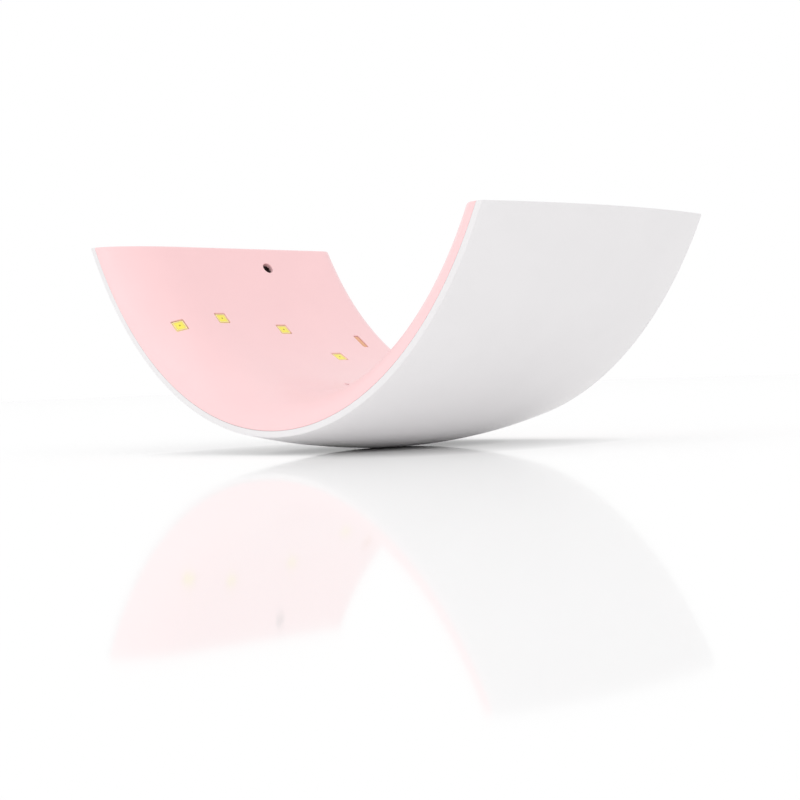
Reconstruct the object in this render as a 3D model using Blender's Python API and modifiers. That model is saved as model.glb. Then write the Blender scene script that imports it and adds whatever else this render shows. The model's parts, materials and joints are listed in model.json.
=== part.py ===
"""Arch-shaped UV LED nail lamp, lying on its crown with both feet up.

The barrel-shaped outer shell and the liner with the LED windows close round a room that holds the LED boards,
the control board and the timer switch. X runs from the left foot to the right foot, Y from the front rim to the
rear rim and Z up. The origin is the lowest point of the crown. All sizes are in metres.
"""
import math

import bmesh
import bpy
import numpy as np
from mathutils import Matrix, Vector

# Overall form
WIDTH = 0.1340            # across the feet, halfway from front to rear
HEIGHT = 0.0488           # from the crown to the plane of the feet
DEPTH = 0.0705            # from the front rim to the rear rim
FOOT_LEAN = 23.8          # lean of the wall at a foot, in degrees from upright
ARCH_WEIGHT = 0.87        # fullness of the conic arc from crown to foot
BARREL = 0.00385          # how far the middle of the shell stands out past its rims

# Walls
SHELL_WALL = 0.0014
LINER_WALL = 0.0015
FOOT_WALL = 0.0018        # flange of the liner that closes the room at a foot
FRONT_LIP = 0.0185        # depth over which the liner curves out to the front rim
REAR_LIP = 0.0055
SEAM = 0.0002             # gap between shell and liner at the rims

# Clearances
SEAT = 0.0003             # between a piece and what carries it
SOLDER = 0.0001           # under a soldered component
TOUCH = 0.0001            # between the button and the switch plunger at rest
SLIDE = 0.0003            # round the button in its hole
HEAD_ROOM = 0.0003        # between the board screws and the liner

# LEDs, measured on each half of the liner
LED_SIZE = 0.0027
LED_HEIGHT = 0.00145
LED_RECESS = 0.0001       # below the face of the liner
WINDOW_GAP = 0.0003       # round an LED in its window
LED_1_FOOT = 0.0336       # along the arch from the foot
LED_1_FRONT = 0.0079      # from the front rim
LED_2_FOOT = 0.0326
LED_2_FRONT = 0.0203
LED_3_FOOT = 0.0376
LED_3_FRONT = 0.0369
LED_4_CROWN = 0.0359      # along the arch from the crown
LED_4_REAR = 0.0242       # from the rear rim

# Hand sensor in each half of the liner
SENSOR_FOOT = 0.0439
SENSOR_REAR = 0.0118
LENS_LENGTH = 0.0043
LENS_WIDTH = 0.0013
LENS_DEPTH = 0.0009
LENS_RECESS = 0.00015
LENS_GAP = 0.0002
SENSOR_LENGTH = 0.0020
SENSOR_WIDTH = 0.0010
SENSOR_HEIGHT = 0.0004

# Vent hole near the crown
VENT_RADIUS = 0.0008
VENT_CROWN = 0.0133
VENT_REAR = 0.0377

# LED boards
LED_BOARD = 0.0006
LED_BOARD_CROWN = 0.0295  # along the arch from the crown to the board
LED_BOARD_FOOT = 0.0278   # along the arch from the foot to the board
LED_BOARD_FRONT = 0.0038
LED_BOARD_REAR = 0.0078
PEG_RADIUS = 0.0009
PEG_GAP = 0.0003
PEG_STAND = 0.0008        # how far a peg stands through its board
PEG_EDGE = 0.0070         # from the rear and foot edges of the board, or twice that from its front edge

# Case screws
SCREW_FOOT = 0.0136
SCREW_REAR = 0.0268
CASE_HEAD_RADIUS = 0.0012
CASE_HEAD = 0.0011
CASE_SHANK_RADIUS = 0.0007
CASE_GRIP = 0.0045        # thread in the boss
CUP_DEPTH = 0.0016        # from the face of the liner to the floor of the screw cup
CUP_FLOOR = 0.0012
CUP_WALL = 0.0012
BOSS_RADIUS = 0.0025
HEAD_GAP = 0.0002
SHANK_GAP = 0.0002

# Timer button and its switch
BUTTON_RADIUS = 0.0055
BUTTON_FRONT = 0.0173     # from the front rim to the button's axis
BUTTON_RECESS = 0.00015
FLANGE_WIDTH = 0.00125
FLANGE = 0.0008
SWITCH_SIZE = 0.0060
SWITCH_HEIGHT = 0.0033
PLUNGER_RADIUS = 0.00175
PLUNGER_SHOW = 0.0008
PLUNGER_SUNK = 0.0008
PLUNGER_GAP = 0.0002
TRAVEL = 0.0003

# Control board
BOARD = 0.0016
BOARD_WIDTH = 0.0220
BOARD_END_GAP = 0.0005
POST_RADIUS = 0.0022
POST_SIDE = 0.0025        # from the edge of the board to a post's axis
POST_REAR = 0.0100        # from the rear edge of the board
BOARD_SHANK_RADIUS = 0.0009
BOARD_HEAD_RADIUS = 0.0018
BOARD_HEAD = 0.0012
BOARD_GRIP = 0.0034
PILOT_SPARE = 0.0004

# Power socket
SOCKET_WIDTH = 0.0075
SOCKET_HEIGHT = 0.0025
SOCKET_LENGTH = 0.0052
SOCKET_METAL = 0.0003
SOCKET_CHAMFER = 0.0008
SOCKET_INSET = 0.0005     # of the mouth from the rear rim
SOCKET_GAP = 0.0003
TONGUE_WIDTH = 0.0037
TONGUE_HEIGHT = 0.0006
TONGUE_LENGTH = 0.0032
TONGUE_ROOT = 0.0012

# Indicator
PIPE_RADIUS = 0.0012
PIPE_COLLAR = 0.0008
PIPE_BUTTON = 0.0100      # behind the button's axis
PIPE_GAP = 0.0002
INDICATOR_SIZE = 0.0016
INDICATOR_HEIGHT = 0.0007

# Other components, below the control board
CHIP_LENGTH = 0.0050
CHIP_WIDTH = 0.0040
CHIP_HEIGHT = 0.0015
CHIP_SIDE = 0.0045
DRIVER_LENGTH = 0.0045
DRIVER_WIDTH = 0.0025
DRIVER_HEIGHT = 0.0015
DRIVER_SIDE = 0.0065
DRIVER_REAR = 0.0200      # from the rear edge of the board
RESISTOR_LENGTH = 0.0032
RESISTOR_WIDTH = 0.0016
RESISTOR_HEIGHT = 0.0006
CAPACITOR_RADIUS = 0.0025
CAPACITOR_HEIGHT = 0.0054
CAPACITOR_FOOT = 0.0012

# Leads from the control board to the LED boards
LEAD_RADIUS = 0.00045
LEAD_LAP = 0.0035         # length on each board
LEAD_SPACING = 0.0040
LEAD_BEND = 0.0080
LEAD_POINTS = 12

# Fineness of the curved faces
ARCH_RINGS = 37           # an odd count leaves a flat facet to rest on
DEPTH_STEPS = 11
LIP_STEPS = 7
ROUND_STEPS = 20

WHITE = (0.86, 0.86, 0.85)
PINK = (0.95, 0.62, 0.63)
YELLOW = (0.95, 0.85, 0.12)
AMBER = (0.35, 0.12, 0.05)
BOARD_GREEN = (0.03, 0.16, 0.07)
BOARD_WHITE = (0.80, 0.80, 0.76)
STEEL = (0.60, 0.60, 0.62)
BLACK = (0.02, 0.02, 0.02)
CLEAR = (0.85, 0.88, 0.90)
RED = (0.55, 0.03, 0.03)
LEFT_RIGHT = (("left", -1), ("right", 1))

HALF_DEPTH = DEPTH / 2
CORNER = WIDTH / 2 - HEIGHT * math.tan(math.radians(FOOT_LEAN))


def arch(u):
    """Point and inward normal of the middle outer profile, u from -1 at the left foot to 1 at the right foot."""
    v = abs(u)
    side = -1.0 if u < 0 else 1.0
    corner = 2 * ARCH_WEIGHT * v * (1 - v)
    total = (1 - v) ** 2 + corner + v * v
    x = (corner * CORNER + v * v * WIDTH / 2) / total
    z = v * v * HEIGHT / total
    corner_rate = 2 * ARCH_WEIGHT * (1 - 2 * v)
    total_rate = corner_rate + 4 * v - 2
    x_rate = corner_rate * CORNER + v * WIDTH - x * total_rate
    z_rate = 2 * v * HEIGHT - z * total_rate
    speed = math.hypot(x_rate, z_rate)
    return Vector((side * x, 0, z)), Vector((-side * z_rate / speed, 0, x_rate / speed))


ARCH_U = np.linspace(0, 1, 801)
ARCH_POINTS = np.array([arch(u)[0] for u in ARCH_U])
ARCH_S = np.append(0, np.cumsum(np.linalg.norm(np.diff(ARCH_POINTS, axis=0), axis=1)))
HALF_ARCH = float(ARCH_S[-1])


def wall(s, y, t):
    """Point at arch distance s from the crown, depth y and offset t inward from the middle outer profile."""
    u = math.copysign(float(np.interp(abs(s), ARCH_S, ARCH_U)), s)
    point, normal = arch(u)
    return point + normal * t + Vector((0, y, 0))


def halved(rises_past, low, high):
    """Value between low and high where rises_past turns true."""
    for _ in range(50):
        middle = (low + high) / 2
        if rises_past(middle):
            high = middle
        else:
            low = middle
    return low


def arch_reach(t, top):
    """Arch distance at which the curve at offset t climbs to the height top."""
    return halved(lambda s: wall(s, 0, t).z > top, 0, HALF_ARCH)


def crown_height(x, y, t):
    """Height of the wall at offset t above the plan point x, y near the crown."""
    s = halved(lambda s: wall(s, y, t).x > abs(x), 0, HALF_ARCH)
    return wall(s, y, t).z


def skin(y):
    return BARREL * (y / HALF_DEPTH) ** 2


def shell_back(y):
    return skin(y) + SHELL_WALL


def liner_edge(y):
    return shell_back(y) + SEAM


# The height of the control board follows from the button, its flange and the switch
BUTTON_Y = BUTTON_FRONT - HALF_DEPTH
FLANGE_RADIUS = BUTTON_RADIUS + SLIDE + FLANGE_WIDTH
RING = np.linspace(0, 2 * math.pi, 16, endpoint=False)
UNDER_FLANGE = [(FLANGE_RADIUS * math.cos(a), BUTTON_Y + FLANGE_RADIUS * math.sin(a)) for a in RING]
FLANGE_LOW = max(crown_height(x, y, shell_back(y)) for x, y in UNDER_FLANGE) + SEAT
FLANGE_TOP = FLANGE_LOW + FLANGE
SWITCH_LOW = FLANGE_TOP + TOUCH + PLUNGER_SHOW
BOARD_LOW = SWITCH_LOW + SWITCH_HEIGHT + SOLDER
BOARD_TOP = BOARD_LOW + BOARD
COMPONENT_TOP = BOARD_LOW - SOLDER

# The liner clears the heads of the board screws
LINER_BACK = BOARD_TOP + SOLDER + BOARD_HEAD + HEAD_ROOM
LINER_FACE = LINER_BACK + LINER_WALL
RIM = liner_edge(HALF_DEPTH)
RISE = LINER_FACE - RIM


def liner(y, inset):
    """Offset of the liner's face, or of its back if inset is its wall."""
    if y + HALF_DEPTH < FRONT_LIP:
        lip = FRONT_LIP
        run = FRONT_LIP - HALF_DEPTH - y
    elif HALF_DEPTH - y < REAR_LIP:
        lip = REAR_LIP
        run = REAR_LIP - HALF_DEPTH + y
    else:
        return LINER_FACE - inset
    share = min(run / (lip - inset), 1)
    return RIM + (RISE - inset) * math.sqrt(1 - share * share)


def lip_inset(t, lip):
    """Depth from a rim to the liner's back at offset t."""
    share = min((t - RIM) / (RISE - LINER_WALL), 1)
    return lip - (lip - LINER_WALL) * math.sqrt(1 - share * share)


def wall_frame(s, y):
    """Frame on the liner's face: X along the arch, Y to the rear and Z out of the face."""
    step = DEPTH / 1000
    slope = (liner(y + step, 0) - liner(y - step, 0)) / (2 * step)
    u = math.copysign(float(np.interp(abs(s), ARCH_S, ARCH_U)), s)
    normal = arch(u)[1]
    along = Vector((normal.z, 0, -normal.x))
    back = (Vector((0, 1, 0)) + normal * slope).normalized()
    frame = Matrix((along, back, along.cross(back))).transposed().to_4x4()
    frame.translation = wall(s, y, liner(y, 0))
    return frame


# Scene, collections and materials
for old in list(bpy.data.objects):
    bpy.data.objects.remove(old, do_unlink=True)

LAMP = bpy.data.collections.new("uv_led_nail_lamp")
CUTTERS = bpy.data.collections.new("cutters")
bpy.context.scene.collection.children.link(LAMP)
bpy.context.scene.collection.children.link(CUTTERS)


def finish(piece, colour, roughness, metallic=0.0):
    material = bpy.data.materials.new(piece.name)
    material.use_nodes = True
    shader = material.node_tree.nodes["Principled BSDF"]
    shader.inputs["Base Color"].default_value = (*colour, 1)
    shader.inputs["Roughness"].default_value = roughness
    shader.inputs["Metallic"].default_value = metallic
    piece.data.materials.append(material)
    return piece


def add(name, data, frame=Matrix(), cutter=False):
    piece = bpy.data.objects.new(name, data)
    piece.matrix_world = frame
    if cutter:
        CUTTERS.objects.link(piece)
        piece.hide_render = True
        piece.display_type = "WIRE"
    else:
        LAMP.objects.link(piece)
    return piece


def to_mesh(name, shape):
    mesh = bpy.data.meshes.new(name)
    bmesh.ops.recalc_face_normals(shape, faces=shape.faces)
    shape.to_mesh(mesh)
    shape.free()
    return mesh


def combine(piece, tool, operation):
    modifier = piece.modifiers.new(tool.name, "BOOLEAN")
    modifier.operation = operation
    modifier.object = tool
    modifier.solver = "EXACT"


def loft(name, section, ends, rings, cutter=False):
    """Solid swept along the arch. The section lists its (y, t) corners, and ends(t) gives where it starts and stops."""
    shape = bmesh.new()
    spans = [ends(t) for y, t in section]
    rows = []
    for ring in np.linspace(0, 1, rings + 1):
        row = []
        for (y, t), (start, stop) in zip(section, spans):
            row.append(shape.verts.new(wall(start + (stop - start) * ring, y, t)))
        rows.append(row)
    for low, high in zip(rows, rows[1:]):
        for i in range(len(section)):
            shape.faces.new((low[i - 1], low[i], high[i], high[i - 1]))
    shape.faces.new(rows[0])
    shape.faces.new(rows[-1])
    piece = add(name, to_mesh(name, shape), cutter=cutter)
    piece.data.shade_smooth()
    piece.data.set_sharp_from_angle(angle=math.radians(40))
    return piece


def boxes(name, places, cutter=False):
    """One object of boxes. Each place is a frame with the low and high corners of its box in that frame."""
    shape = bmesh.new()
    for frame, low, high in places:
        size = Vector(high) - Vector(low)
        middle = (Vector(high) + Vector(low)) / 2
        place = frame @ Matrix.Translation(middle) @ Matrix.Diagonal((*size, 1))
        bmesh.ops.create_cube(shape, size=1, matrix=place)
    return add(name, to_mesh(name, shape), cutter=cutter)


def rods(name, places, cutter=False):
    """One object of round rods. Each place is a frame, a radius and the low and high ends on the frame's Z."""
    shape = bmesh.new()
    for frame, radius, low, high in places:
        place = frame @ Matrix.Translation((0, 0, (low + high) / 2))
        bmesh.ops.create_cone(shape, cap_ends=True, segments=ROUND_STEPS, radius1=radius, radius2=radius,
                              depth=high - low, matrix=place)
    return add(name, to_mesh(name, shape), cutter=cutter)


def block(name, frame, low, high, bevel=0.0):
    """Box in its own frame, with rounded edges where bevel is given."""
    shape = bmesh.new()
    size = Vector(high) - Vector(low)
    middle = (Vector(high) + Vector(low)) / 2
    bmesh.ops.create_cube(shape, size=1, matrix=Matrix.Translation(middle) @ Matrix.Diagonal((*size, 1)))
    piece = add(name, to_mesh(name, shape), frame)
    if bevel:
        modifier = piece.modifiers.new("edges", "BEVEL")
        modifier.width = bevel
        modifier.segments = 2
    return piece


def turned(name, frame, profile):
    """Solid of revolution about the frame's Z. The profile runs from the top on the axis down its outer side."""
    mesh = bpy.data.meshes.new(name)
    edges = [(i, i + 1) for i in range(len(profile) - 1)]
    mesh.from_pydata([(radius, 0, z) for radius, z in profile], edges, [])
    piece = add(name, mesh, frame)
    modifier = piece.modifiers.new("turn", "SCREW")
    modifier.axis = "Z"
    modifier.steps = ROUND_STEPS
    modifier.render_steps = ROUND_STEPS
    modifier.use_merge_vertices = True
    modifier.merge_threshold = 0.00001
    return piece


def plate(name, outline, thickness, frame, cutter=False):
    """Flat outline in the frame's XY plane, raised by its thickness along Z."""
    curve = bpy.data.curves.new(name, "CURVE")
    curve.dimensions = "2D"
    curve.fill_mode = "BOTH"
    curve.extrude = thickness / 2
    spline = curve.splines.new("POLY")
    spline.points.add(len(outline) - 1)
    for point, (x, y) in zip(spline.points, outline):
        point.co = (x, y, 0, 1)
    spline.use_cyclic_u = True
    drawn = bpy.data.objects.new(name, curve)
    CUTTERS.objects.link(drawn)
    bpy.context.view_layer.update()
    mesh = bpy.data.meshes.new_from_object(drawn.evaluated_get(bpy.context.evaluated_depsgraph_get()))
    bpy.data.objects.remove(drawn)
    shape = bmesh.new()
    shape.from_mesh(mesh)
    bmesh.ops.remove_doubles(shape, verts=shape.verts, dist=0.000001)
    bpy.data.meshes.remove(mesh)
    return add(name, to_mesh(name, shape), frame @ Matrix.Translation((0, 0, thickness / 2)), cutter)


def upright(x, y):
    return Matrix.Translation((x, y, 0))


# Places on the two halves of the liner
LED_PLACES = (
    (HALF_ARCH - LED_1_FOOT, LED_1_FRONT - HALF_DEPTH),
    (HALF_ARCH - LED_2_FOOT, LED_2_FRONT - HALF_DEPTH),
    (HALF_ARCH - LED_3_FOOT, LED_3_FRONT - HALF_DEPTH),
    (LED_4_CROWN, HALF_DEPTH - LED_4_REAR),
)
BOARD_SPAN = (LED_BOARD_CROWN, HALF_ARCH - LED_BOARD_FOOT)
LED_BOARD_Y = (LED_BOARD_FRONT - HALF_DEPTH, HALF_DEPTH - LED_BOARD_REAR)
PEG_PLACES = (
    (LED_BOARD_CROWN + PEG_EDGE, LED_BOARD_Y[0] + 2 * PEG_EDGE),
    (BOARD_SPAN[1] - PEG_EDGE, LED_BOARD_Y[1] - PEG_EDGE),
)
LED_FRAMES = [(name, n, wall_frame(side * s, y))
              for name, side in LEFT_RIGHT for n, (s, y) in enumerate(LED_PLACES, 1)]
SENSOR_FRAMES = [(name, wall_frame(side * (HALF_ARCH - SENSOR_FOOT), HALF_DEPTH - SENSOR_REAR))
                 for name, side in LEFT_RIGHT]
SCREW_FRAMES = [(name, wall_frame(side * (HALF_ARCH - SCREW_FOOT), HALF_DEPTH - SCREW_REAR))
                for name, side in LEFT_RIGHT]
VENT_FRAMES = [wall_frame(side * VENT_CROWN, HALF_DEPTH - VENT_REAR) for name, side in LEFT_RIGHT]
PEG_FRAMES = [wall_frame(side * s, y) for name, side in LEFT_RIGHT for s, y in PEG_PLACES]

BOARD_FRONT = lip_inset(BOARD_TOP, FRONT_LIP) + BOARD_END_GAP - HALF_DEPTH
BOARD_REAR = HALF_DEPTH - lip_inset(BOARD_TOP, REAR_LIP) - BOARD_END_GAP
POST_X = BOARD_WIDTH / 2 - POST_SIDE
POST_ROWS = (BUTTON_Y + FLANGE_RADIUS + SLIDE + POST_RADIUS, BOARD_REAR - POST_REAR)
POSTS = [(x, y) for y in POST_ROWS for x in (-POST_X, POST_X)]
POST_TOP = BOARD_LOW - SEAT
PILOT_LOW = POST_TOP - BOARD_GRIP - PILOT_SPARE

CUP_LOW = -CUP_DEPTH - CUP_FLOOR
BOSS_TOP = CUP_LOW - SEAT
SHANK_LOW = BOSS_TOP - CASE_GRIP
SCREW_Y = HALF_DEPTH - SCREW_REAR
BOSS_LOW = (skin(SCREW_Y) + shell_back(SCREW_Y)) / 2 - LINER_FACE

PIPE_Y = BUTTON_Y + PIPE_BUTTON
OVERSHOOT = 2 * LINER_WALL


def shell_ends(t):
    return -arch_reach(t, HEIGHT), arch_reach(t, HEIGHT)


def make_outer_shell():
    depths = np.linspace(-HALF_DEPTH, HALF_DEPTH, DEPTH_STEPS + 1)
    section = [(y, skin(y)) for y in depths] + [(y, shell_back(y)) for y in reversed(depths)]
    shell = finish(loft("outer_shell", section, shell_ends, ARCH_RINGS), WHITE, 0.3)
    stands = [(frame, BOSS_RADIUS, BOSS_LOW, BOSS_TOP) for name, frame in SCREW_FRAMES]
    holes = [(frame, CASE_SHANK_RADIUS + SHANK_GAP, SHANK_LOW - PILOT_SPARE, BOSS_TOP + SEAT)
             for name, frame in SCREW_FRAMES]
    for x, y in POSTS:
        foot = crown_height(x, y, (skin(y) + shell_back(y)) / 2)
        stands.append((upright(x, y), POST_RADIUS, foot, POST_TOP))
        holes.append((upright(x, y), BOARD_SHANK_RADIUS + SHANK_GAP, PILOT_LOW, POST_TOP + SEAT))
    holes.append((upright(0, BUTTON_Y), BUTTON_RADIUS + SLIDE, -SHELL_WALL, FLANGE_LOW))
    holes.append((upright(0, PIPE_Y), PIPE_RADIUS + PIPE_GAP, -SHELL_WALL, FLANGE_LOW))
    combine(shell, rods("shell_stands", stands, cutter=True), "UNION")
    combine(shell, rods("shell_holes", holes, cutter=True), "DIFFERENCE")


def make_liner():
    lip_angles = np.linspace(0, math.pi / 2, LIP_STEPS + 1)
    front = [FRONT_LIP * (1 - math.cos(a)) - HALF_DEPTH for a in lip_angles]
    rear = [HALF_DEPTH - REAR_LIP * (1 - math.cos(a)) for a in reversed(lip_angles)]
    edge = np.linspace(HALF_DEPTH, -HALF_DEPTH, DEPTH_STEPS + 1)
    section = [(y, liner(y, 0)) for y in front[1:] + rear[:-1]] + [(y, liner_edge(y)) for y in edge]
    body = finish(loft("liner", section, shell_ends, ARCH_RINGS), PINK, 0.4)

    front = [FRONT_LIP - (FRONT_LIP - LINER_WALL) * math.cos(a) - HALF_DEPTH for a in lip_angles]
    rear = [HALF_DEPTH - REAR_LIP + (REAR_LIP - LINER_WALL) * math.cos(a) for a in reversed(lip_angles)]
    below = [(y, skin(y)) for y in np.linspace(rear[-1], front[0], DEPTH_STEPS + 1)]
    room = [(y, liner(y, LINER_WALL)) for y in front[1:] + rear[:-1]] + below

    def room_ends(t):
        reach = arch_reach(t, HEIGHT - FOOT_WALL)
        return -reach, reach

    combine(body, loft("liner_room", room, room_ends, ARCH_RINGS, cutter=True), "DIFFERENCE")

    inside = -LINER_WALL / 2
    stands = [(frame, CASE_HEAD_RADIUS + HEAD_GAP + CUP_WALL, CUP_LOW, inside) for name, frame in SCREW_FRAMES]
    peg_low = -LINER_WALL - SEAT - LED_BOARD - PEG_STAND
    stands += [(frame, PEG_RADIUS, peg_low, inside) for frame in PEG_FRAMES]
    combine(body, rods("liner_stands", stands, cutter=True), "UNION")

    holes = [(frame, CASE_HEAD_RADIUS + HEAD_GAP, -CUP_DEPTH, OVERSHOOT) for name, frame in SCREW_FRAMES]
    combine(body, rods("liner_cups", holes, cutter=True), "DIFFERENCE")
    holes = [(frame, CASE_SHANK_RADIUS + SHANK_GAP, CUP_LOW - SEAT, inside) for name, frame in SCREW_FRAMES]
    holes += [(frame, VENT_RADIUS, -OVERSHOOT, OVERSHOOT) for frame in VENT_FRAMES]
    combine(body, rods("liner_holes", holes, cutter=True), "DIFFERENCE")

    half = LED_SIZE / 2 + WINDOW_GAP
    windows = [(frame, (-half, -half, -OVERSHOOT), (half, half, OVERSHOOT)) for name, n, frame in LED_FRAMES]
    length = LENS_LENGTH / 2 + LENS_GAP
    width = LENS_WIDTH / 2 + LENS_GAP
    windows += [(frame, (-length, -width, -OVERSHOOT), (length, width, OVERSHOOT)) for name, frame in SENSOR_FRAMES]
    side = SOCKET_WIDTH / 2 + SOCKET_GAP
    windows.append((Matrix(), (-side, HALF_DEPTH - REAR_LIP, shell_back(HALF_DEPTH - REAR_LIP)),
                    (side, HALF_DEPTH + OVERSHOOT, COMPONENT_TOP + SOCKET_GAP)))
    combine(body, boxes("liner_windows", windows, cutter=True), "DIFFERENCE")


def make_led_boards():
    depths = np.linspace(*LED_BOARD_Y, DEPTH_STEPS + 1)
    top = [(y, liner(y, LINER_WALL) - SEAT) for y in depths]
    section = top + [(y, t - LED_BOARD) for y, t in reversed(top)]
    for name, side in LEFT_RIGHT:
        span = (side * BOARD_SPAN[0], side * BOARD_SPAN[1])
        board = finish(loft("led_board_" + name, section, lambda t: span, DEPTH_STEPS), BOARD_WHITE, 0.5)
        holes = [(wall_frame(side * s, y), PEG_RADIUS + PEG_GAP, -2 * OVERSHOOT, 0) for s, y in PEG_PLACES]
        combine(board, rods("led_board_holes_" + name, holes, cutter=True), "DIFFERENCE")


def make_leds():
    half = LED_SIZE / 2
    low = -LED_RECESS - LED_HEIGHT
    for name, n, frame in LED_FRAMES:
        led = block(f"uv_led_{name}_{n}", frame, (-half, -half, low), (half, half, -LED_RECESS), LED_HEIGHT / 10)
        finish(led, YELLOW, 0.25)


def make_sensors():
    lens_low = -LENS_RECESS - LENS_DEPTH
    for name, frame in SENSOR_FRAMES:
        corner = Vector((LENS_LENGTH / 2, LENS_WIDTH / 2, -LENS_RECESS))
        lens = block("sensor_lens_" + name, frame, (-corner.x, -corner.y, lens_low), corner)
        finish(lens, AMBER, 0.1)
        corner = Vector((SENSOR_LENGTH / 2, SENSOR_WIDTH / 2, lens_low - SOLDER))
        low = (-corner.x, -corner.y, corner.z - SENSOR_HEIGHT)
        sensor = block("sensor_emitter" if name == "left" else "sensor_receiver", frame, low, corner)
        finish(sensor, BLACK, 0.3)


def make_case_screws():
    for name, frame in SCREW_FRAMES:
        under = SOLDER - CUP_DEPTH
        profile = [(0, under + CASE_HEAD), (CASE_HEAD_RADIUS, under + CASE_HEAD), (CASE_HEAD_RADIUS, under),
                   (CASE_SHANK_RADIUS, under), (CASE_SHANK_RADIUS, SHANK_LOW), (0, SHANK_LOW)]
        finish(turned("case_screw_" + name, frame, profile), STEEL, 0.35, 1.0)


def make_control_board():
    side = BOARD_WIDTH / 2
    outline = [(-side, BOARD_FRONT), (side, BOARD_FRONT), (side, BOARD_REAR), (-side, BOARD_REAR)]
    board = plate("control_board", outline, BOARD, Matrix.Translation((0, 0, BOARD_LOW)))
    holes = [(upright(x, y), BOARD_SHANK_RADIUS + SHANK_GAP, BOARD_LOW - BOARD, BOARD_TOP + BOARD) for x, y in POSTS]
    combine(board, rods("board_holes", holes, cutter=True), "DIFFERENCE")
    finish(board, BOARD_GREEN, 0.45)
    under = BOARD_TOP + SOLDER
    tip = POST_TOP - BOARD_GRIP
    profile = [(0, under + BOARD_HEAD), (BOARD_HEAD_RADIUS, under + BOARD_HEAD), (BOARD_HEAD_RADIUS, under),
               (BOARD_SHANK_RADIUS, under), (BOARD_SHANK_RADIUS, tip), (0, tip)]
    for n, (x, y) in enumerate(POSTS, 1):
        finish(turned(f"board_screw_{n}", upright(x, y), profile), STEEL, 0.35, 1.0)


def make_button_and_switch():
    frame = upright(0, BUTTON_Y)
    profile = [(0, FLANGE_TOP), (FLANGE_RADIUS, FLANGE_TOP), (FLANGE_RADIUS, FLANGE_LOW),
               (BUTTON_RADIUS, FLANGE_LOW), (BUTTON_RADIUS, -SHELL_WALL), (0, -SHELL_WALL)]
    button = finish(turned("timer_button", frame, profile), WHITE, 0.3)
    depths = np.linspace(BUTTON_Y - 2 * BUTTON_RADIUS, BUTTON_Y + 2 * BUTTON_RADIUS, DEPTH_STEPS + 1)
    section = [(y, skin(y) - 4 * SHELL_WALL) for y in depths]
    section += [(y, skin(y) + BUTTON_RECESS) for y in reversed(depths)]
    span = (-2 * BUTTON_RADIUS, 2 * BUTTON_RADIUS)
    combine(button, loft("button_face", section, lambda t: span, DEPTH_STEPS, cutter=True), "DIFFERENCE")

    half = SWITCH_SIZE / 2
    body = block("switch_body", frame, (-half, -half, SWITCH_LOW), (half, half, COMPONENT_TOP))
    bore_top = SWITCH_LOW + PLUNGER_SUNK + TRAVEL + PLUNGER_GAP
    bore = rods("switch_bore", [(frame, PLUNGER_RADIUS + PLUNGER_GAP, FLANGE_TOP, bore_top)], cutter=True)
    combine(body, bore, "DIFFERENCE")
    finish(body, BLACK, 0.4)
    profile = [(0, SWITCH_LOW + PLUNGER_SUNK), (PLUNGER_RADIUS, SWITCH_LOW + PLUNGER_SUNK),
               (PLUNGER_RADIUS, FLANGE_TOP + TOUCH), (0, FLANGE_TOP + TOUCH)]
    finish(turned("switch_plunger", frame, profile), BLACK, 0.35)


def make_socket():
    mouth = HALF_DEPTH - SOCKET_INSET
    back = mouth - SOCKET_LENGTH
    stand = Matrix.Translation((0, mouth, COMPONENT_TOP)) @ Matrix.Rotation(math.radians(90), 4, "X")

    def outline(inset):
        side = SOCKET_WIDTH / 2 - inset
        low = inset - SOCKET_HEIGHT
        cut = SOCKET_CHAMFER
        return [(-side, -inset), (-side, low + cut), (cut - side, low), (side - cut, low), (side, low + cut),
                (side, -inset)]

    socket = plate("usb_socket", outline(0), SOCKET_LENGTH, stand)
    hollow = plate("socket_hollow", outline(SOCKET_METAL), 2 * SOCKET_LENGTH,
                   stand @ Matrix.Translation((0, 0, -SOCKET_LENGTH / 2)), cutter=True)
    combine(socket, hollow, "DIFFERENCE")
    finish(socket, STEEL, 0.3, 1.0)

    middle = COMPONENT_TOP - SOCKET_HEIGHT / 2
    inside = SOCKET_METAL + SOLDER
    side = SOCKET_WIDTH / 2 - inside - SOCKET_CHAMFER
    tongue = block("usb_tongue", Matrix(), (-side, back + SOLDER, COMPONENT_TOP - SOCKET_HEIGHT + inside),
                   (side, back + TONGUE_ROOT, COMPONENT_TOP - inside))
    blade = boxes("usb_blade", [(Matrix(), (-TONGUE_WIDTH / 2, back + TONGUE_ROOT / 2, middle - TONGUE_HEIGHT / 2),
                                 (TONGUE_WIDTH / 2, back + TONGUE_ROOT + TONGUE_LENGTH, middle + TONGUE_HEIGHT / 2))],
                  cutter=True)
    combine(tongue, blade, "UNION")
    finish(tongue, BLACK, 0.4)


def component(name, x, y, length, width, height, colour):
    """Block soldered to the underside of the control board, its length across the board."""
    low = (-length / 2, -width / 2, COMPONENT_TOP - height)
    part = block(name, upright(x, y), low, (length / 2, width / 2, COMPONENT_TOP))
    return finish(part, colour, 0.4)


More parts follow.
